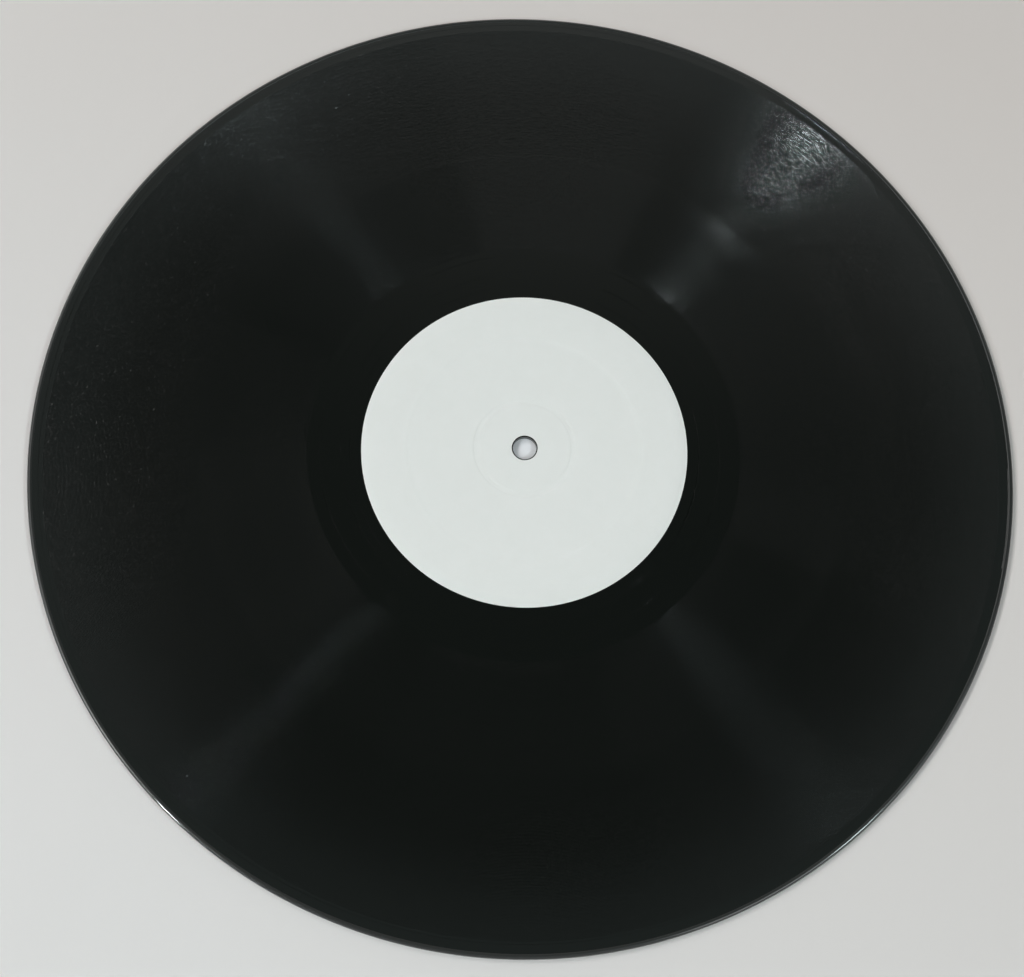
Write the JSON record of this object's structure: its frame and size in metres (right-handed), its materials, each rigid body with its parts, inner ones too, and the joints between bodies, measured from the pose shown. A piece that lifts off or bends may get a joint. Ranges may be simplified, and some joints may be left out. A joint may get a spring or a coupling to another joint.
{
  "type": "vinyl record",
  "caption": "Flat black long-playing record: a grooved disc with a round bead on its rim, a bare white paper label fused into each side and a spindle hole.",
  "frame": {"origin": "middle of the spindle hole, on the plane that side B's label rests on", "axes": "+Z along the spindle hole, out of side A; +X and +Y lie in the plane of the disc, and the spiral grooves start and end 8 degrees clockwise from +X"},
  "size_m": [0.3016, 0.3016, 0.0022],
  "materials": {
    "vinyl": "pressed black PVC, glossy on the bare land, finely grooved over the tracks",
    "label_paper": "plain uncoated white label paper, smoothed by the press"
  },
  "bodies": {
    "root": {"vinyl_disc": "vinyl", "side_a_label": "label_paper", "side_b_label": "label_paper"}
  },
  "joints": []
}
